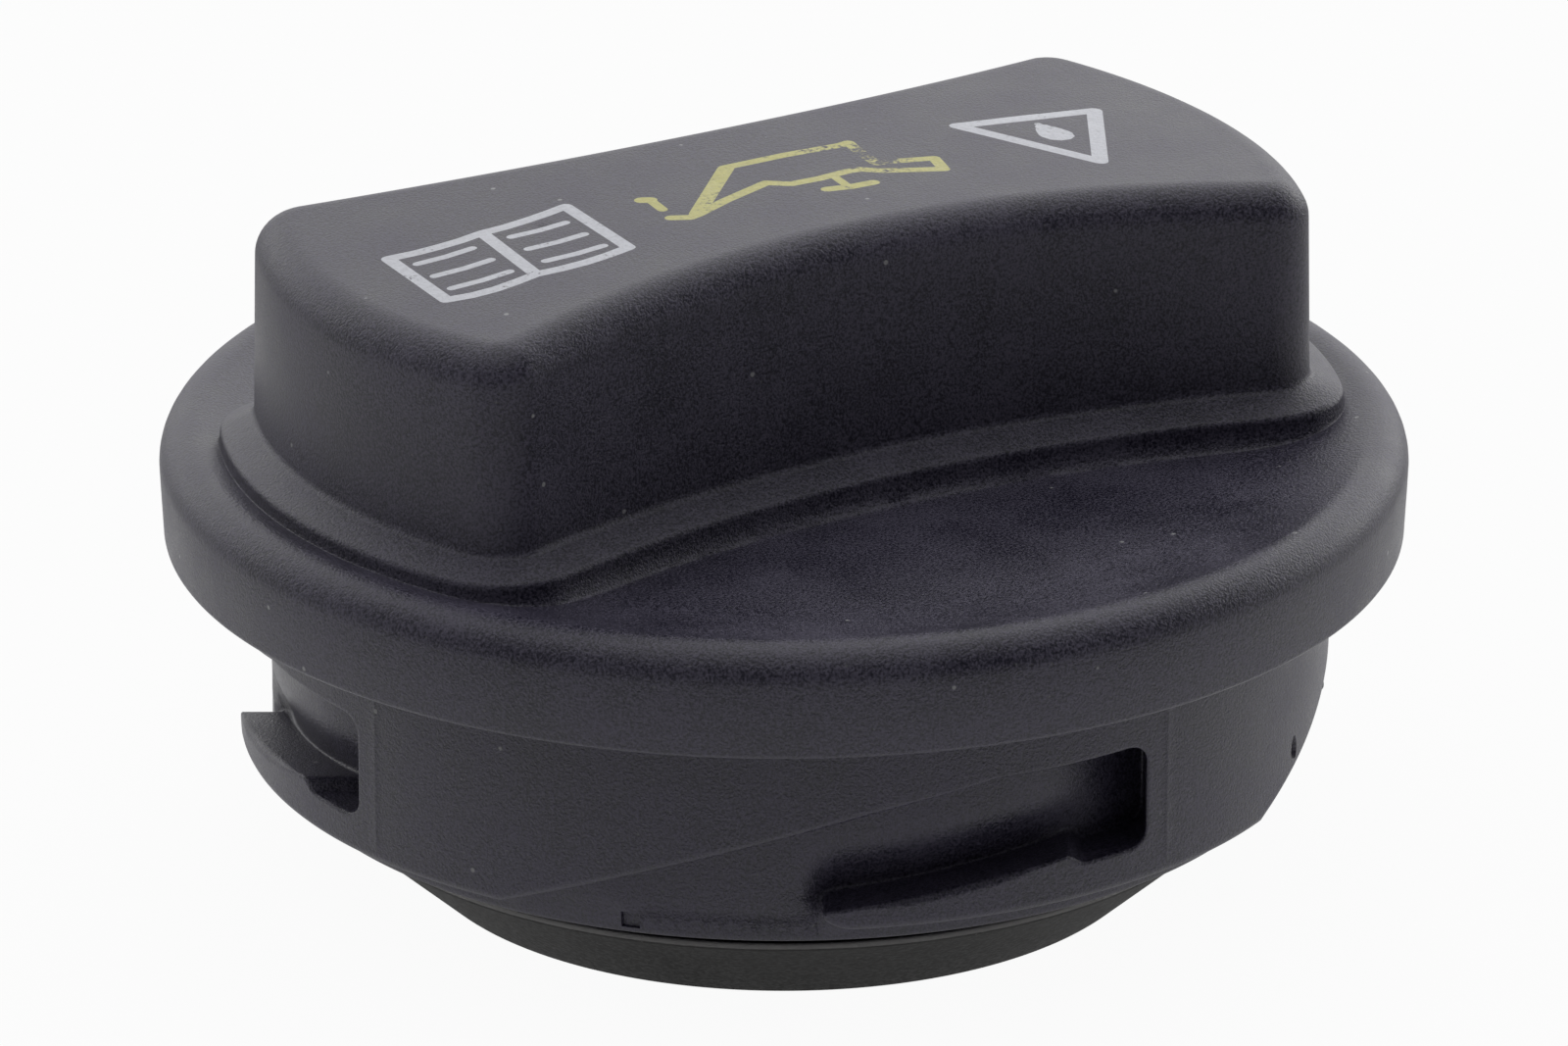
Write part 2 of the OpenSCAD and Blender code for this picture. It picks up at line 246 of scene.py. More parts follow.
def grip_columns():
    """Points and outward normals of the grip's outline at its foot, anticlockwise from +X."""
    arcs = [((0, 0), END_R, 0, END_A, END_COLUMNS),
            ((CORNER_X, CORNER_Y), CORNER_R, END_A, SIDE_A + math.pi, CORNER_COLUMNS),
            ((0, SIDE_Y), -SIDE_R, SIDE_A + math.pi, math.pi / 2, SIDE_COLUMNS)]
    points, normals = [], []
    for centre, radius, start, end, steps in arcs:
        for step in range(steps):
            turn = start + (end - start) * step / steps
            normal = (math.cos(turn), math.sin(turn))
            points.append((centre[0] + radius * normal[0], centre[1] + radius * normal[1]))
            normals.append(normal)
    points.append((0, SIDE_Y - SIDE_R))
    normals.append((0, 1))
    quarter = len(points) - 1
    order = ([(i, 1, 1) for i in range(quarter)] + [(i, -1, 1) for i in range(quarter, 0, -1)]
             + [(i, -1, -1) for i in range(quarter)] + [(i, 1, -1) for i in range(quarter, 0, -1)])
    outline = np.array([(points[i][0] * sx, points[i][1] * sy) for i, sx, sy in order])
    outward = np.array([(normals[i][0] * sx, normals[i][1] * sy) for i, sx, sy in order])
    return outline, outward


GRIP, GRIP_OUT = grip_columns()


def top_z(x):
    return GRIP_Z + ARCH * (1 - (x / END_R) ** 2)


def grip_ring(inset, height):
    """A ring of the grip. height is a number, or a function of X."""
    flat = GRIP - inset * GRIP_OUT
    level = height(flat[:, 0]) if callable(height) else np.full(len(flat), float(height))
    return np.column_stack([flat, level])


def grip_distance(flat):
    """How far points lie outside the grip's outline at its foot."""
    across, along = np.abs(flat[:, 0]), np.abs(flat[:, 1])
    from_corner = np.arctan2(along - CORNER_Y, across - CORNER_X)
    end = np.hypot(across, along) - END_R
    corner = np.hypot(across - CORNER_X, along - CORNER_Y) - CORNER_R
    side = SIDE_R - np.hypot(across, along - SIDE_Y)
    away = np.where(from_corner > SIDE_A + math.pi, side, corner)
    away = np.where(from_corner < END_A, end, away)
    return np.where((across < CORNER_X - CORNER_R) & (along < SIDE_Y), side, away)


def dish_z(flat):
    """Height of the dish and rim, with the cove under the grip's ledge blended in."""
    radius = np.hypot(flat[:, 0], flat[:, 1])
    bowl = DISH_Z + DISH_R - np.sqrt(DISH_R ** 2 - np.maximum(radius - DISH_LOW_R, 0) ** 2)
    rim = CREST_Z - RIM_R + np.sqrt(np.maximum(RIM_R ** 2 - (radius - CREST_R) ** 2, 0))
    ground = np.where(radius > CREST_R - RIM_R * math.sin(DISH_SLOPE), rim, bowl)
    share = np.clip((grip_distance(flat) - LEDGE_W) / COVE_W, 0, 1)
    cove = LEDGE_Z - EDGE_DROP - COVE_H * np.sqrt(1 - (1 - share) ** 2)
    ease = np.clip(0.5 + 0.5 * (cove - ground) / COVE_BLEND, 0, 1)
    return ground + (cove - ground) * ease + COVE_BLEND * ease * (1 - ease) * 0.5


def triangles_inside(points, loops):
    """Constrained triangles within closed loops of point numbers: 2-D points and triangles."""
    edges = [(loop[i], loop[(i + 1) % len(loop)]) for loop in loops for i in range(len(loop))]
    made = delaunay_2d_cdt([Vector(p) for p in points], edges, [], 1, CDT_SLACK)
    return np.array([(v.x, v.y) for v in made[0]]), [tuple(face) for face in made[2]]


def middles_of(flat, faces):
    return np.array([flat[list(face)].mean(0) for face in faces])


def inside_loop(points, loop):
    """Which points lie inside a closed loop."""
    inside = np.zeros(len(points), bool)
    for start, end in zip(loop, np.roll(loop, -1, 0)):
        if start[1] == end[1]:
            continue
        between = (start[1] > points[:, 1]) != (end[1] > points[:, 1])
        crossing = start[0] + (points[:, 1] - start[1]) * (end[0] - start[0]) / (end[1] - start[1])
        inside ^= between & (points[:, 0] < crossing)
    return inside


def edge_clearance(points, loop, batch=400):
    """Distance from each point to the nearest corner of a loop."""
    nearest = np.full(len(points), np.inf)
    for start in range(0, len(loop), batch):
        gaps = points[:, None] - loop[None, start:start + batch]
        nearest = np.minimum(nearest, np.hypot(gaps[..., 0], gaps[..., 1]).min(1))
    return nearest


def scattered(low, high, pitch, loop, margin):
    """A staggered grid of points inside a loop, clear of its edge."""
    rows = np.arange(low[1], high[1], pitch * ROW_RISE)
    grid = np.array([(x + (row % 2) * pitch / 2, y) for row, y in enumerate(rows)
                     for x in np.arange(low[0], high[0], pitch)])
    grid = grid[inside_loop(grid, loop)]
    return grid[edge_clearance(grid, loop) > margin]


def stroke(points, width, closed=False):
    """A printed line of even width: its segments as (start, end, half width)."""
    ends = list(points[1:]) + ([points[0]] if closed else [])
    return [(np.array(a, float), np.array(b, float), width / 2) for a, b in zip(points, ends)]


def stroke_outline(segment, steps=5):
    """The edge of one segment, with its ends rounded in so many steps."""
    start, end, half = segment
    angle = math.atan2(*(end - start)[::-1])
    turns = [angle + math.pi / 2 + math.pi * step / steps for step in range(steps + 1)]
    near = [start + half * np.array((math.cos(t), math.sin(t))) for t in turns]
    far = [end - half * np.array((math.cos(t), math.sin(t))) for t in turns]
    return near + far


def on_stroke(points, segments):
    hit = np.zeros(len(points), bool)
    for start, end, half in segments:
        along = end - start
        share = np.clip((points - start) @ along / (along @ along), 0, 1)
        hit |= np.hypot(*(points - start - share[:, None] * along).T) < half
    return hit


# Printed marks on top of the grip: a book of ruled pages, an oil can, and a drop in a triangle
PAGE_LINE, RULE_LINE, CAN_LINE, SIGN_LINE = 0.78, 0.56, 0.72, 0.92
PAGES = [(-24.2, -4.85), (-22.8, -5.25), (-21.4, -5.35), (-20.0, -5.2), (-18.65, -4.95),
         (-17.2, -5.15), (-15.7, -5.2), (-14.2, -5.05), (-12.7, -4.75), (-12.5, 2.6),
         (-13.9, 2.3), (-15.3, 2.1), (-16.7, 2.0), (-18.1, 2.05), (-19.6, 1.85), (-21.0, 1.85),
         (-22.4, 1.95), (-23.9, 2.25)]
PAGE_FOLD = [(-18.65, -4.95), (-18.1, 2.05)]
RULES_AT, RULE_SHIFT, RULE_PITCH = (-23.0, -17.1), 0.1, 2.1


def rule(left, row):
    """One ruled line of a page, slightly bowed as the page is."""
    x, y = left - RULE_SHIFT * row, RULE_PITCH * row
    right = left + 1.7, left + 3.4
    return stroke([(x, 0.55 - y), (right[0], 0.4 - y), (right[1], 0.5 - y)], RULE_LINE)


BOOK = (stroke(PAGES, PAGE_LINE, True) + stroke(PAGE_FOLD, PAGE_LINE)
        + [line for row in range(3) for left in RULES_AT for line in rule(left, row)])
CAN_EDGE = [(-8.6, -2.3), (-7.7, -2.85), (-7.1, -2.7), (-4.8, -1.7), (-1.45, -0.5), (-0.35, -1.35),
            (1.5, -1.4), (3.3, -1.15), (4.2, -1.2), (5.2, -2.0), (8.4, -3.3), (8.85, -1.5),
            (6.5, -0.9), (5.55, -0.75), (5.6, 0.3), (5.75, 2.0), (5.9, 2.9), (5.3, 2.75),
            (1.75, 2.85), (-2.15, 2.8)]
CAN = (stroke(CAN_EDGE, CAN_LINE)
       + stroke([(-7.1, -2.6), (-2.15, 2.7)], 0.95)
       + stroke([(0.95, -3.1), (2.3, -3.4), (3.75, -3.4)], 0.75)
       + stroke([(2.2, -3.3), (2.35, -1.4)], 0.55)
       + stroke([(-8.6, 0.95), (-8.2, 0.7)], 0.85)
       + stroke([(-8.2, 0.7), (-8.35, -0.95)], 0.6))
TRIANGLE = (stroke([(12.95, 2.75), (21.8, 2.35), (17.2, -5.65)], SIGN_LINE, True)
            + stroke([(17.4, 1.3), (17.4, 0.7)], 0.45)
            + stroke([(17.4, 0.7), (17.4, 0.2)], 1.0)
            + stroke([(17.4, 0.1), (17.4, -0.2)], 1.55)
            + stroke([(17.4, -0.45), (17.4, -0.75)], 2.0))
FADED_AT, FADED_R = (5.4, 0.6, GRIP_Z + ARCH), 4.2
WHITE, YELLOW = 1, 2


def crown(skin):
    """The grip's arched top, with the outlines of the printed marks cut into its faces."""
    edge = grip_ring(TOP_INSET, 0)[:, :2]
    edge = edge[np.concatenate([[True], np.hypot(*np.diff(edge, axis=0).T) > CLOSE])]
    points = [tuple(p) for p in edge]
    loops = [list(range(len(points)))]
    for segment in BOOK + CAN + TRIANGLE:
        outline = stroke_outline(segment)
        loops.append(list(range(len(points), len(points) + len(outline))))
        points += [tuple(p) for p in outline]
    points += [tuple(p) for p in scattered(TOP_LOW, TOP_HIGH, TOP_PITCH, edge, TOP_CLEAR)]
    flat, faces = triangles_inside(points, loops)
    middles = middles_of(flat, faces)
    printed = np.where(on_stroke(middles, BOOK + TRIANGLE), WHITE,
                       np.where(on_stroke(middles, CAN), YELLOW, 0))
    skin.patch(np.column_stack([flat, top_z(flat[:, 0])]), faces, printed.tolist())


def grip_and_flange(skin):
    """Rings from the grip's top edge down its wall, over ledge, dish and rim, to the lands.

    Returns the angles of the rings' columns.
    """
    rows = [grip_ring(TOP_INSET, top_z)]
    for turn in turn_steps(12):
        inset = DRAFT_IN + TOP_R * (1 - math.sin(turn))
        rows.append(grip_ring(inset, lambda x: top_z(x) - TOP_R * (1 - math.cos(turn))))
    upper = rows[-1]
    for step in range(1, WALL_ROWS):
        share = step / WALL_ROWS
        ring = grip_ring(DRAFT_IN * (1 - share), 0)
        ring[:, 2] = upper[:, 2] * (1 - share) + FILLET_Z * share
        rows.append(ring)
    for turn in np.linspace(0, math.pi / 2 - LEDGE_FALL, 8):
        rows.append(grip_ring(-FOOT_R * (1 - math.cos(turn)), FILLET_Z - FOOT_R * math.sin(turn)))
    for turn in np.linspace(LEDGE_FALL, math.pi / 2, 7):
        rows.append(grip_ring(-(LEDGE_W - EDGE_R) - EDGE_R * math.sin(turn),
                              LEDGE_Z - EDGE_DROP + EDGE_R * math.cos(turn)))
    ledge = rows[-1][:, :2]
    angles = np.arctan2(ledge[:, 1], ledge[:, 0])
    around = np.column_stack([np.cos(angles), np.sin(angles)])
    rise = LEDGE_Z - EDGE_DROP - dish_z(ledge)
    for step in range(1, DISH_ROWS + 1):
        share = (step / DISH_ROWS) ** DISH_BUNCH
        flat = ledge * (1 - share) + DISH_OUT_R * around * share
        away = np.hypot(*(flat - ledge).T)
        level = dish_z(flat) + rise * np.clip(1 - away / COVE_START, 0, 1)
        rows.append(np.column_stack([flat, level]))
    for radius in np.linspace(DISH_OUT_R, CREST_R + RIM_SPLIT, RIM_ROWS)[1:]:
        flat = radius * around
        rows.append(np.column_stack([flat, dish_z(flat)]))
    for turn in np.linspace(math.asin(RIM_SPLIT / RIM_R), math.pi / 2, RIM_ROWS)[1:]:
        rows.append(ring_at(CREST_R + RIM_R * math.sin(turn),
                            CREST_Z - RIM_R + RIM_R * math.cos(turn), angles))
    inside_r = BAND_LOW_R - RIM_SKIRT
    profile = ([BAND_MIDDLE] + low_edge(BAND_LOW_R, FLANGE_Z, 4)
               + [(inside_r + SKIRT_BEVEL, FLANGE_Z), (inside_r, FLANGE_Z + SKIRT_BEVEL),
                  (inside_r, RELIEF_Z - RELIEF_EDGE), (inside_r - RELIEF_EDGE, RELIEF_Z),
                  (LAND_R + RELIEF_EDGE, RELIEF_Z), (LAND_R, RELIEF_Z - RELIEF_EDGE),
                  (LAND_R, FLANGE_Z), (LAND_R, LAND_TOP + LAND_ROW), (LAND_R, LAND_TOP)])
    rows += [ring_at(radius, height, angles) for radius, height in profile]
    skin.rings(rows)
    return angles


def slot_edge():
    """One slot's edge from its mouth round to the hook's nose: points and normals into the land."""
    corners = []

    def bend(x, z, radius, start, end, steps):
        for step in range(steps + 1):
            turn = math.radians(start + (end - start) * step / steps)
            corners.append(np.array((x + radius * math.cos(turn), z + radius * math.sin(turn))))

    def run(to, steps):
        start = corners[-1]
        for step in range(1, steps):
            corners.append(start + (np.array(to) - start) * step / steps)

    chord = np.array((RAMP_X - MOUTH_X, ROOF_Z - ROOF_FALL - LAND_Z))
    half = np.hypot(*chord) / 2
    lean = math.atan2(chord[1], chord[0])
    spread = math.asin(half / RAMP_R)
    centre = (np.array((MOUTH_X, LAND_Z)) + chord / 2
              + RAMP_R * math.cos(spread) * np.array((math.sin(lean), -math.cos(lean))))
    for step in range(RAMP_STEPS + 1):
        turn = math.pi / 2 + lean + spread - 2 * spread * step / RAMP_STEPS
        corners.append(centre + RAMP_R * np.array((math.cos(turn), math.sin(turn))))

    run((RAMP_X + RAMP_EASE, ROOF_Z), 5)
    corners.append(np.array((RAMP_X + RAMP_EASE, ROOF_Z)))
    run((SLOT_END - END_CORNER, ROOF_Z), 16)
    bend(SLOT_END - END_CORNER, ROOF_Z - END_CORNER, END_CORNER, 90, 0, 10)
    run((SLOT_END, SEAT_Z + END_CORNER), 10)
    bend(SLOT_END - END_CORNER, SEAT_Z + END_CORNER, END_CORNER, 0, -90, 10)
    run((STEP_X + DETENT_RUN / 2, SEAT_Z), 6)
    for step in range(DETENT_STEPS + 1):
        across = DETENT_SPAN / 2 - DETENT_SPAN * step / DETENT_STEPS
        corners.append(np.array((STEP_X + DETENT_RUN * across,
                                 SEAT_Z + DETENT_H * smooth_step(step / DETENT_STEPS))))
    run((TIP_X + TIP_R, LAND_Z + TIP_H), 34)
    bend(TIP_X + TIP_R, LAND_Z + TIP_H - TIP_R, TIP_R, 90, 226, NOSE_STEPS)
    nose_start = corners.pop()
    nose_turn = math.asin((LAND_Z + NOSE_R - nose_start[1]) / NOSE_R)
    nose_x = nose_start[0] + NOSE_R * math.cos(nose_turn)
    bend(nose_x, LAND_Z + NOSE_R, NOSE_R, 180 + math.degrees(nose_turn), 270, NOSE_STEPS)
    points = np.array(corners)
    ahead = np.gradient(points, axis=0)
    ahead /= np.hypot(*ahead.T)[:, None]
    normals = np.column_stack([-ahead[:, 1], ahead[:, 0]])
    normals[0] = normals[-1] = (0, 1)
    return points, normals


def floor_radius(lean, height):
    """Radius of the wall below the lands and in the slots, at an angle from a slot's middle.

    The slot's floor falls back behind the hook and towards the closed end.
    """
    across = FLOOR_R * np.sin(lean)
    hook_run = np.clip((across - TIP_X) / (STEP_X - TIP_X), 0, 1)
    hook_top = LAND_Z + TIP_H + hook_run * (SEAT_Z + DETENT_H - LAND_Z - TIP_H)
    behind_hook = (smooth_step(1 - (height - hook_top) / SINK_H)
                   * smooth_step((across - TIP_X + BEFORE_TIP) / TIP_BLEND))
    by_end = smooth_step(1 - (SLOT_END - across) / SINK_W)
    in_slot = (smooth_step((height - LAND_Z - ABOVE_FOOT) / FOOT_BLEND)
               * smooth_step((SLOT_END + PAST_END - across) / END_BLEND))
    sunk = SINK * (1 - (1 - behind_hook) * (1 - by_end)) * in_slot
    step = smooth_step((height - (LAND_Z - SKIRT_STEP)) / SKIRT_STEP)
    return SKIRT_R + (FLOOR_R - SKIRT_R) * step - sunk


class LandEdge:
    """The one closed edge between the spigot's lands and what lies below, through all slots."""

    def __init__(self):
        self.points, self.normals = slot_edge()
        x, z = self.points.T
        gap = SLOT_PITCH - (math.asin(-MOUTH_X / LAND_R) + math.asin(x[-1] / LAND_R))
        self.plain = np.linspace(0, 1, int(gap * LAND_R / PLAIN_STEP))[1:-1]
        reach = np.concatenate([[0], np.cumsum(np.hypot(*np.diff(self.points, axis=0).T))])
        ends = np.minimum(reach, reach[-1] - reach)
        coarser = TRIM_COARSE - TRIM_FINE
        trim = TRIM_FINE + coarser * np.clip(1 - ends / MOUTH_BLEND, 0, 1) ** 2
        on_hook = (smooth_step((x - TIP_X - HOOK_LEAD) / HOOK_BLEND)
                   * smooth_step((STEP_X - HOOK_TAIL - x) / HOOK_BLEND)
                   * (reach > reach[-1] / 2) * (z < SEAT_Z + DETENT_H + HOOK_CLEAR))
        trim = trim + (TRIM_HOOK - trim) * on_hook
        on_ramp = smooth_step((RAMP_X - x) / RAMP_BLEND) * (reach < reach[-1] / 2)
        trim = np.maximum(trim, TRIM_FINE + coarser * on_ramp)
        tip = np.hypot(*(self.points - (TIP_X, LAND_Z + TIP_H)).T)
        self.trim = trim * np.clip(TIP_TRIM + tip / TIP_REACH, TIP_TRIM, 1)
        self.trim[-1] = self.trim[0] = TRIM_COARSE
        self.fillet = FLOOR_FILLET - HOOK_FILLET_CUT * on_hook

    def row(self, offset, radius):
        """Angle, height and radius of each point, offset into the land.

        offset takes the edge's rounding and the fillet at the floor. radius takes these two,
        the angle from the slot's middle and the height.
        """
        out = []
        shift = offset(self.trim, self.fillet)
        flat = self.points + shift[:, None] * self.normals
        level = np.full(len(flat), FLOOR_R)
        for _ in range(4):
            lean = np.arcsin(flat[:, 0] / level)
            level = radius(self.trim, self.fillet, lean, flat[:, 1])
        side = np.full(len(self.plain), LAND_Z + offset(TRIM_COARSE, FLOOR_FILLET))
        side_r = radius(TRIM_COARSE, FLOOR_FILLET, SLOT_PITCH / 2 + 0 * side, side)
        for k in range(SLOT_N):
            base = slot_angle(k)
            following = base + SLOT_PITCH + lean[0]
            out.append(np.column_stack([base + lean, flat[:, 1], level]))
            angle = base + lean[-1] + (following - base - lean[-1]) * self.plain
            out.append(np.column_stack([angle, side, side_r * np.ones(len(side))]))
        return np.concatenate(out)


def on_wall(row):
    angle, height, radius = np.asarray(row).T
    return np.column_stack([radius * np.cos(angle), radius * np.sin(angle), height])


def spigot(skin, angles):
    """Lands, slots with their ramps and hooks, pads, notches and the wall below."""
    edge = LandEdge()
    rows = [edge.row(lambda trim, fillet: trim + SUPPORT,
                     lambda trim, fillet, lean, z: LAND_R + 0 * z)]
    for turn in turn_steps(5):
        rows.append(edge.row(
            lambda trim, fillet: trim * (1 - math.sin(turn)),
            lambda trim, fillet, lean, z: LAND_R - trim * (1 - math.cos(turn)) + 0 * z))
    for turn in turn_steps(5):
        rows.append(edge.row(
            lambda trim, fillet: -fillet * (1 - math.cos(turn)),
            lambda trim, fillet, lean, z: floor_radius(lean, z) + fillet * (1 - math.sin(turn))))
    rows.append(edge.row(lambda trim, fillet: -fillet - SUPPORT,
                         lambda trim, fillet, lean, z: floor_radius(lean, z)))
    skin.rings([on_wall(row) for row in rows])
    land_patch(skin, rows[0], angles)
    floor_patch(skin, rows[-1])


def cut_open(row):
    """A closed row of angles and heights, once round from its point nearest the seam."""
    offset = (row[:, 0] - SEAM_A + math.pi) % (2 * math.pi) - math.pi
    start = int(np.argmin(np.abs(offset)))
    angle, height = np.unwrap(np.roll(offset, -start)), np.roll(row[:, 1], -start)
    return np.column_stack([np.append(angle, angle[0] + 2 * math.pi), np.append(height, height[0])])


def wrapped(skin, low, high, radius, shape, loops):
    """Fills the wall between two closed rows, laid out flat and cut at the seam."""
    low, high = cut_open(low), cut_open(high)
    steps = max(2, int(abs(high[0, 1] - low[0, 1]) / WALL_PITCH))
    seam = low[0] + (high[0] - low[0]) * np.arange(1, steps)[:, None] / steps
    outline = np.concatenate([low, seam + (2 * math.pi, 0), high[::-1], seam[::-1]]) * (radius, 1)
    points = [tuple(p) for p in outline]
    rims = [list(range(len(points)))]
    for loop in loops:
        flat = np.column_stack([((loop[:, 0] - SEAM_A) % (2 * math.pi)) * radius, loop[:, 1]])
        rims.append(list(range(len(points), len(points) + len(flat))))
        points += [tuple(p) for p in flat]
    grid = scattered(outline.min(0), outline.max(0), WALL_PITCH, outline, WALL_PITCH * WALL_CLEAR)
    points += [tuple(p) for p in grid]
    flat, faces = triangles_inside(points, rims)
    angle = flat[:, 0] / radius + SEAM_A
    skin.patch(on_wall(np.column_stack([angle, flat[:, 1], shape(angle, flat[:, 1])])), faces)


def ridge_loop(centre, half):
    """A narrow upright strip beside a slot's closed end, as angles and heights, anticlockwise."""
    levels = np.linspace(PARTING_LOW, PARTING_TOP, 26)
    left = np.column_stack([np.full(len(levels), centre - half / LAND_R), levels[::-1]])
    right = np.column_stack([np.full(len(levels), centre + half / LAND_R), levels])
    return np.concatenate([right, left])


def nick_loop(scale):
    """The nick's edge at a share of its size, as angles and heights."""
    around = full_turn(20)
    sag = NICK_SAG * np.cos(around) ** 2
    return np.column_stack([NICK_A + scale * NICK_W * np.cos(around) / LAND_R,
                            NICK_Z + scale * NICK_H * np.sin(around) - sag])


def land_patch(skin, low, angles):
    """The lands, with the parting ridges of the slides and the nick."""
    high = np.column_stack([angles, np.full(len(angles), LAND_TOP)])
    turns = [slot_angle(k) + PARTING_A for k in range(SLOT_N)]
    loops = [ridge_loop(turn, half) for turn in turns for half in (PARTING_W, PARTING_W / 4)]
    loops += [nick_loop(1), nick_loop(0.5)]
    within_nick = 0.75

    def shape(angle, z):
        radius = np.full(len(z), LAND_R)
        upright = (z > PARTING_LOW - PARTING_SLACK) & (z < PARTING_TOP + PARTING_SLACK)
        for turn in turns:
            off = np.abs((angle - turn + math.pi) % (2 * math.pi) - math.pi) * LAND_R
            radius = np.where((off < PARTING_W / 2) & upright, LAND_R + PARTING_H, radius)
        across = ((angle - NICK_A + math.pi) % (2 * math.pi) - math.pi) * LAND_R / NICK_W
        depth = np.hypot(across, (z - NICK_Z) / NICK_H)
        return np.where(depth < within_nick, LAND_R - NICK_D, radius)

    wrapped(skin, low[:, :2], high, LAND_R, shape, loops)


def block_loop(k, left, right, low, top, inset):
    """The edge of a pad or notch under slot k, anticlockwise, as angles and heights."""
    across = np.linspace(left + inset, right - inset, max(2, int((right - left) / BLOCK_STEP)) + 1)
    lean = slot_angle(k) + np.arcsin(across / SKIRT_R)
    lower = np.column_stack([lean, np.full(len(lean), low + inset)])
    upper = np.column_stack([lean[::-1], np.full(len(lean), top - inset)])
    return np.concatenate([lower, upper])


def floor_patch(skin, high):
    """The wall below the lands and the floors of the slots, with pads and notches."""
    blocks = []
    for k in range(SLOT_N):
        for left, right, low, proud in ((PAD_START, PAD_END, PAD_LOW, PAD_T),
                                        (PAD_START - NOTCH_W, PAD_START, NOTCH_LOW, -NOTCH_IN)):
            outer = block_loop(k, left, right, low, PAD_TOP, 0)
            inner = block_loop(k, left, right, low, PAD_TOP, BLOCK_BEVEL)
            blocks.append((outer, inner, proud))
    around = full_turn(SKIRT_COLUMNS)
    low = np.column_stack([around, np.full(len(around), SKIRT_Z + LOW_EDGE)])

    def shape(angle, z):
        half = SLOT_PITCH / 2
        lean = (angle - SLOT_TURN + math.pi / 2 + half) % SLOT_PITCH - half
        radius = floor_radius(lean, z)
        bearing = angle % (2 * math.pi)
        for _, inner, proud in blocks:
            inner_angle = inner[:, 0] % (2 * math.pi)
            hit = ((bearing > inner_angle.min() - BLOCK_SLACK)
                   & (bearing < inner_angle.max() + BLOCK_SLACK)
                   & (z > inner[:, 1].min() - BLOCK_SLACK) & (z < inner[:, 1].max() + BLOCK_SLACK))
            radius = np.where(hit, SKIRT_R + proud, radius)
        return radius

    loops = [loop for outer, inner, _ in blocks for loop in (outer, inner)]
    wrapped(skin, low, high[:, :2], FLOOR_R, shape, loops)
    skin.turned(low_edge(SKIRT_R, SKIRT_Z, 3), around)
    underside(skin, ring_at(SKIRT_R - LOW_EDGE, 0, around)[:, :2])


def underside(skin, edge):
    """Everything that looks down: skirt, bore, tube and the hollow of the grip, from one plan."""
    plan = [tuple(p) for p in edge]
    loops = [list(range(len(plan)))]
    hollow = grip_ring(DRAFT_IN + WALL, 0)[::3, :2]
    circles = ((BORE_R, BORE_COLUMNS), (TUBE_R, TUBE_COLUMNS), (TUBE_BORE, TUBE_COLUMNS))
    rings = [ring_at(radius, 0, full_turn(count))[:, :2] for radius, count in circles]
    for ring in rings + [hollow]:
        loops.append(list(range(len(plan), len(plan) + len(ring))))
        plan += [tuple(p) for p in ring]
    flat, faces = triangles_inside(plan, loops)
    middles = middles_of(flat, faces)
    radius = np.hypot(*middles.T)
    ceiling = np.where(inside_loop(middles, hollow), GRIP_ROOF_Z, PLATE_Z)
    in_tube = (radius < TUBE_R) & (radius > TUBE_BORE - CLOSE)
    level = np.where(radius > BORE_R - CLOSE, SKIRT_Z, np.where(in_tube, TUBE_Z, ceiling))
    on_tube = np.abs(np.hypot(*flat.T) - TUBE_R) < TUBE_SLACK
    tube_profile = ((TUBE_Z, BEAD_R), (BEAD_Z, BEAD_R), (BEAD_Z, GROOVE_R), (COLLAR_Z, GROOVE_R),
                    (COLLAR_Z, TUBE_R))
    points, number = [], {}

    def corner(vertex, z):
        key = (vertex, round(float(z), 4))
        if key not in number:
            x, y = flat[vertex]
            if on_tube[vertex] and z <= BEAD_Z:
                x, y = x * BEAD_R / TUBE_R, y * BEAD_R / TUBE_R
            number[key] = len(points)
            points.append((x, y, z))
        return number[key]

    def tube_line(vertex):
        """The tube's outside at one column: bead, groove and collar."""
        line = []
        for z, tube_r in tube_profile:
            x, y = flat[vertex] * (tube_r / TUBE_R)
            points.append((x, y, z))
            line.append(len(points) - 1)
        return line

    shells = [[corner(v, z) for v in face][::-1] for face, z in zip(faces, level)]
    beside, heights = {}, [set() for _ in flat]
    for face, z in zip(faces, level):
        for i in range(3):
            beside.setdefault(frozenset((face[i], face[(i + 1) % 3])), []).append(float(z))
            heights[face[i]].add(float(z))
    for pair, levels in beside.items():
        if len(levels) < 2 or levels[0] == levels[1]:
            continue
        first, second = tuple(pair)
        low, high = min(levels), max(levels)
        if on_tube[first] and on_tube[second] and low == TUBE_Z:
            near, far = tube_line(first), tube_line(second)
            for step in range(len(tube_profile) - 1):
                shells.append([near[step], far[step], far[step + 1], near[step + 1]])
            low = COLLAR_Z
        up = [low] + sorted(z for z in heights[first] if low < z < high) + [high]
        down = [high] + sorted((z for z in heights[second] if low < z < high), reverse=True) + [low]
        shells.append([corner(first, z) for z in up] + [corner(second, z) for z in down])
    skin.patch(points, shells)


class Value:
    """One output of a material's node, used in sums like a number."""

    def __init__(self, finish, socket):
        self.finish = finish
        self.socket = socket

    def _sum(self, operation, *values):
        return self.finish.node("ShaderNodeMath", {"operation": operation},
                                dict(enumerate(values)))

    def __add__(self, other):
        return self._sum("ADD", self, other)

    __radd__ = __add__

    def __sub__(self, other):
        return self._sum("SUBTRACT", self, other)

    def __rsub__(self, other):
        return self._sum("SUBTRACT", other, self)

    def __mul__(self, other):
        return self._sum("MULTIPLY", self, other)

    __rmul__ = __mul__


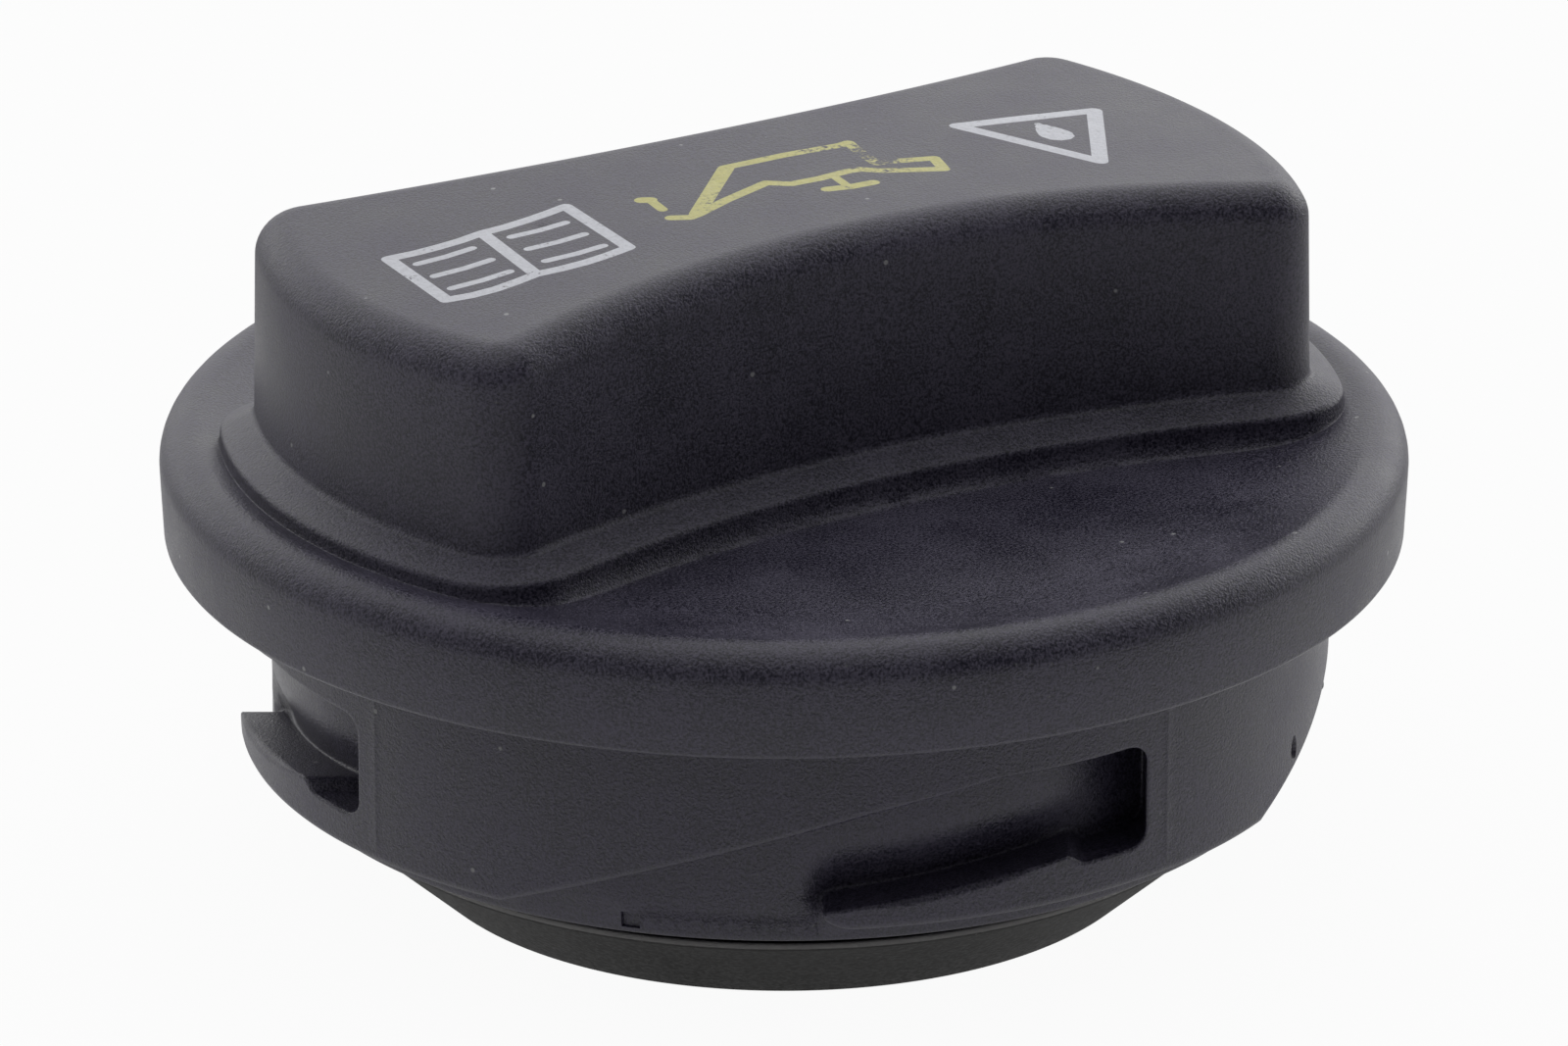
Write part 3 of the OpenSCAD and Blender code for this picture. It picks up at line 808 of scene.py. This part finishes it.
class Finish:
    """The node tree of one material or of the world, made one node at a time."""

    def __init__(self, owner):
        owner.use_nodes = True
        self.tree = owner.node_tree
        self.tree.nodes.clear()

    def node(self, kind, settings=None, inputs=None, output=0):
        made = self.tree.nodes.new(kind)
        for name, setting in (settings or {}).items():
            setattr(made, name, setting)
        for name, given in (inputs or {}).items():
            if isinstance(given, Value):
                self.tree.links.new(given.socket, made.inputs[name])
            else:
                made.inputs[name].default_value = given
        return Value(self, made.outputs[output]) if made.outputs else None

    def vector(self, operation, inputs, output="Value"):
        return self.node("ShaderNodeVectorMath", {"operation": operation},
                         dict(enumerate(inputs)), output)

    def ramp(self, value, low, high, to_low=0.0, to_high=1.0):
        return self.node("ShaderNodeMapRange", {"interpolation_type": "SMOOTHSTEP"},
                         {"Value": value, "From Min": low, "From Max": high,
                          "To Min": to_low, "To Max": to_high})

    def mix(self, share, first, second):
        return self.node("ShaderNodeMix", {"data_type": "RGBA"},
                         {"Factor": share, "A": first, "B": second}, "Result")

    def noise(self, place, scale, detail=2.0, roughness=0.5):
        """Noise of so many cells per metre."""
        return self.node("ShaderNodeTexNoise", {}, {"Vector": place, "Scale": scale,
                                                    "Detail": detail, "Roughness": roughness})

    def specks(self, place, scale, size):
        """Round specks scattered in space, as a mask. size is their radius in cells."""
        away = self.node("ShaderNodeTexVoronoi", {"feature": "F1"},
                         {"Vector": place, "Scale": scale, "Randomness": 1.0}, "Distance")
        return self.ramp(away, size, size * 1.8, 1.0, 0.0)


# Colours and levels of the finishes. Grain and clouds are in cells per metre
NYLON_DARK, NYLON_PALE = (0.004, 0.003, 0.014, 1), (0.080, 0.073, 0.110, 1)
NYLON_GRAIN, NYLON_PORES, NYLON_CLOUDS, NYLON_DEPTH = 6400, 2600, 170, 0.075
FIBRE, DUST = (0.30, 0.30, 0.31, 1), (0.12, 0.12, 0.125, 1)
WHITE_INK, YELLOW_INK = (0.63, 0.64, 0.7, 1), (0.56, 0.53, 0.17, 1)
INK_SPECKLE, INK_WEAR = 3600, 420
RUBBER_DARK, RUBBER_PALE = (0.013, 0.0125, 0.012, 1), (0.036, 0.035, 0.034, 1)
# The pale band along the top of the lip's rounded edge is a painted highlight, with its radii and
# heights below.
RUBBER_DUST, LIP_HIGHLIGHT = (0.14, 0.14, 0.135, 1), (0.55, 0.54, 0.53, 1)
RUBBER_GRAIN, RUBBER_CLOUDS, RUBBER_DEPTH = 3600, 200, 0.05
LIP_HIGHLIGHT_R, LIP_HIGHLIGHT_Z = (LIP_R - 0.5, LIP_R - 0.4), (4.88, 4.95)


def moulded_nylon(f):
    """Colour, roughness and normal of black glass-filled nylon.

    It has a fine matt grain, cloudy patches and pale specks of fibre and dust.
    """
    place = f.node("ShaderNodeTexCoord", output="Object")
    grain = f.noise(place, NYLON_GRAIN, 2, 0.65)
    pores = f.noise(place, NYLON_PORES, 2, 0.5)
    clouds = f.noise(place, NYLON_CLOUDS, 4, 0.62)
    shade = f.ramp(grain * 0.75 + clouds * 0.25, 0.36, 0.64)
    colour = f.mix(shade, NYLON_DARK, NYLON_PALE)
    colour = f.mix(f.specks(place, 310, 0.03) * 0.9, colour, FIBRE)
    colour = f.mix(f.specks(place, 900, 0.045) * 0.55, colour, DUST)
    rough = f.ramp(grain * 0.6 + clouds * 0.4, 0.3, 0.7, 0.30, 0.52)
    normal = f.node("ShaderNodeBump", {}, {"Strength": 1.0, "Distance": NYLON_DEPTH * MM,
                                           "Height": grain * 0.75 + pores * 0.25})
    return place, colour, rough, normal


def moulded_surface(f, colour, rough, normal):
    shader = f.node("ShaderNodeBsdfPrincipled", {}, {"Base Color": colour, "Roughness": rough,
                                                     "Normal": normal, "IOR": 1.5})
    f.node("ShaderNodeOutputMaterial", {}, {"Surface": shader})


def nylon_finish():
    material = bpy.data.materials.new("black_nylon_moulded")
    f = Finish(material)
    _, colour, rough, normal = moulded_nylon(f)
    moulded_surface(f, colour, rough, normal)
    return material


def print_finish(name, ink, worn, faded=None):
    """Ink on the moulded grain: thin, patchy at its grain, and rubbed off where it is faded.

    faded is the middle and the reach of the rubbed place.
    """
    material = bpy.data.materials.new(name)
    f = Finish(material)
    place, colour, rough, normal = moulded_nylon(f)
    speckle = f.noise(place, INK_SPECKLE, 2, 0.6)
    level = speckle * 0.5 + f.noise(place, INK_WEAR, 3, 0.6) * 0.5
    if faded:
        at, reach = faded
        away = f.vector("DISTANCE", (place, tuple(value * MM for value in at)))
        level = level - f.ramp(away, reach * 0.3 * MM, reach * MM, 0.17, 0.0)
    cover = f.ramp(level, worn, worn + 0.14)
    thin_ink = tuple(0.86 * part for part in ink[:3]) + (1,)
    ink_rgb = f.mix(f.ramp(speckle, 0.3, 0.7), thin_ink, ink)
    moulded_surface(f, f.mix(cover, colour, ink_rgb), rough, normal)
    return material


def rubber_finish():
    """Matt black rubber, neutral beside the nylon: a finer grain, dust, and a painted highlight
    along the top of the lip's edge.
    """
    material = bpy.data.materials.new("seal_rubber_moulded")
    f = Finish(material)
    place = f.node("ShaderNodeTexCoord", output="Object")
    grain = f.noise(place, RUBBER_GRAIN, 2, 0.6)
    clouds = f.noise(place, RUBBER_CLOUDS, 3, 0.6)
    colour = f.mix(f.ramp(grain * 0.6 + clouds * 0.4, 0.35, 0.65), RUBBER_DARK, RUBBER_PALE)
    colour = f.mix(f.specks(place, 700, 0.04) * 0.5, colour, RUBBER_DUST)
    out = f.vector("LENGTH", (f.vector("MULTIPLY", (place, (1, 1, 0)), "Vector"),))
    height = f.node("ShaderNodeSeparateXYZ", {}, {"Vector": place}, "Z")
    # Painted highlight: a pale band along the top of the lip's rounded edge.
    lip_highlight = (f.ramp(out, LIP_HIGHLIGHT_R[0] * MM, LIP_HIGHLIGHT_R[1] * MM)
              * f.ramp(height, LIP_HIGHLIGHT_Z[0] * MM, LIP_HIGHLIGHT_Z[1] * MM))
    colour = f.mix(lip_highlight, colour, LIP_HIGHLIGHT)
    rough = f.ramp(grain, 0.3, 0.7, 0.5, 0.7)
    normal = f.node("ShaderNodeBump", {}, {"Strength": 0.8, "Distance": RUBBER_DEPTH * MM,
                                           "Height": grain})
    moulded_surface(f, colour, rough, normal)
    return material


def cap_moulding():
    """The nylon moulding: grip, flange, spigot and the inside of all three."""
    skin = Skin()
    crown(skin)
    angles = grip_and_flange(skin)
    spigot(skin, angles)
    white = print_finish("white_print", WHITE_INK, 0.27)
    yellow = print_finish("yellow_print", YELLOW_INK, 0.29, (FADED_AT, FADED_R))
    piece = skin.build("cap_moulding", [nylon_finish(), white, yellow])
    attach(piece, "root")
    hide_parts("cap_body")


def rounded(corners, steps=6):
    """A closed outline whose corners, given with a radius each, are rounded off."""
    outline = []
    for i, (x, z, radius) in enumerate(corners):
        here = np.array((x, z))
        before = np.array(corners[i - 1][:2]) - here
        after = np.array(corners[(i + 1) % len(corners)][:2]) - here
        before, after = before / np.hypot(*before), after / np.hypot(*after)
        half = math.acos(np.clip(before @ after, -1, 1)) / 2
        middle = (before + after) / np.hypot(*(before + after))
        centre = here + middle * radius / math.sin(half)
        start, end = [here + side * radius / math.tan(half) - centre for side in (before, after)]
        spread = math.pi - 2 * half
        for step in range(steps + 1):
            share = step / steps
            weight = math.sin((1 - share) * spread), math.sin(share * spread)
            outline.append(tuple(centre + (weight[0] * start + weight[1] * end) / math.sin(spread)))
    return outline


def seal_moulding():
    """The rubber seal: its foot, the flared lip with its rounded edge, and its collar."""
    outline = rounded([(BEAD_R + FIT_GAP, 0, 0.12), (SEAL_R - 0.22, 0, 0.5),
                       (LIP_R, LIP_Z, 0.16), (LIP_R - 0.2, LIP_Z + 0.4, 0.2),
                       (SEAL_R + 0.8, 2.6, 0.9), (SEAL_R, COLLAR_Z - FIT_GAP, 0.3),
                       (GROOVE_R + FIT_GAP, COLLAR_Z - FIT_GAP, 0.1),
                       (GROOVE_R + FIT_GAP, BEAD_Z + FIT_GAP, 0.05),
                       (BEAD_R + FIT_GAP, BEAD_Z + FIT_GAP, 0.05)])
    skin = Skin()
    skin.turned(outline + outline[:1], full_turn(SEAL_COLUMNS))
    piece = skin.build("seal_moulding", [rubber_finish()])
    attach(piece, "root")
    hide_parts("lip_seal")


# The photograph's viewpoint
VIEW_TURN, VIEW_RISE = math.radians(-30.6), math.radians(23.3)
VIEW_DISTANCE, AIM_Z = 700, 19.6
SENSOR_W, LENS = 36, 282.8
# Soft lobes of light: degrees to the left from straight behind the object, height in degrees,
# and strength
LOBES = [(0, 8, 0.6), (-45, 8, 2.7), (45, 8, 1.6), (0, 45, 1.0), (120, 45, 0.2), (60, 45, 0.25),
         (0, 90, 1.1), (180, 65, 0.3)]
LOBE_FOCUS = 8.0
# The floor: its grey, how white it is to the camera, and how white in reflections of it near the
# object, far from it and under it, with the distances between which each changes. The dimming
# under it is a painted shadow of the object in the floor's reflected glow
FLOOR_HALF, FLOOR_GREY, FLOOR_WHITE = 3.0, 0.62, 0.95
NEAR_SHINE, FAR_SHINE, UNDER_SHINE = 0.96, 0.06, 0.35
FAR_FROM, FAR_TO, UNDER_FROM, UNDER_TO = 55, 140, 26, 34


def add_camera():
    """The photograph's camera, looking down, with the grip turned to the left."""
    distance = VIEW_DISTANCE * MM
    data = bpy.data.cameras.new("camera")
    data.sensor_width = SENSOR_W
    data.lens = LENS
    data.clip_start = 0.01
    camera = bpy.data.objects.new("camera", data)
    level = distance * math.cos(VIEW_RISE)
    camera.location = (level * math.sin(VIEW_TURN), -level * math.cos(VIEW_TURN),
                       distance * math.sin(VIEW_RISE))
    aim = Vector((0, 0, AIM_Z * MM))
    camera.rotation_euler = (aim - camera.location).to_track_quat("-Z", "Y").to_euler()
    bpy.context.scene.collection.objects.link(camera)
    bpy.context.scene.camera = camera


def add_floor():
    """A pale floor that shows white to the camera and in the gloss of the mouldings."""
    data = bpy.data.meshes.new("floor")
    half = FLOOR_HALF
    corners = [(-half, -half, 0), (half, -half, 0), (half, half, 0), (-half, half, 0)]
    data.from_pydata(corners, [], [(0, 1, 2, 3)])
    floor = bpy.data.objects.new("floor", data)
    bpy.context.scene.collection.objects.link(floor)
    material = bpy.data.materials.new("pale_floor")
    f = Finish(material)
    camera_ray = f.node("ShaderNodeLightPath", output="Is Camera Ray")
    glossy_ray = f.node("ShaderNodeLightPath", output="Is Glossy Ray")
    paint = f.node("ShaderNodeBsdfDiffuse", {}, {"Color": (FLOOR_GREY,) * 3 + (1,)})
    white = f.node("ShaderNodeEmission", {}, {"Color": (1, 1, 1, 1), "Strength": 1.0})
    away = f.vector("LENGTH", (f.node("ShaderNodeTexCoord", output="Object"),))
    # Painted shadow: the floor's glow in reflections dims under the object, in place of its contact
    # shadow.
    under = f.ramp(away, UNDER_FROM * MM, UNDER_TO * MM, NEAR_SHINE - UNDER_SHINE, 0.0)
    shine = f.ramp(away, FAR_FROM * MM, FAR_TO * MM, NEAR_SHINE, FAR_SHINE) - under
    share = camera_ray * FLOOR_WHITE + glossy_ray * shine
    shader = f.node("ShaderNodeMixShader", {}, {"Fac": share, 1: paint, 2: white})
    f.node("ShaderNodeOutputMaterial", {}, {"Surface": shader})
    data.materials.append(material)


def add_world():
    """White behind for the camera. The light itself comes in soft lobes from above and behind."""
    world = bpy.data.worlds.new("studio")
    bpy.context.scene.world = world
    f = Finish(world)
    direction = f.node("ShaderNodeTexCoord", output="Generated")
    level = 0.0
    for turn, rise, strength in LOBES:
        bearing = VIEW_TURN + math.radians(turn)
        flat = math.cos(math.radians(rise))
        towards = (-math.sin(bearing) * flat, math.cos(bearing) * flat,
                   math.sin(math.radians(rise)))
        facing = f.vector("DOT_PRODUCT", (direction, towards))
        lobe = f.node("ShaderNodeMath", {"operation": "EXPONENT"}, {0: (facing - 1) * LOBE_FOCUS})
        level = level + strength * lobe
    camera_ray = f.node("ShaderNodeLightPath", output="Is Camera Ray")
    strength = level + camera_ray * (1 - level)
    background = f.node("ShaderNodeBackground", {}, {"Color": (1, 1, 1, 1), "Strength": strength})
    f.node("ShaderNodeOutputWorld", {}, {"Surface": background})


cap_moulding()
seal_moulding()
add_camera()
add_floor()
add_world()

scene = bpy.context.scene
scene.view_settings.view_transform = "Standard"
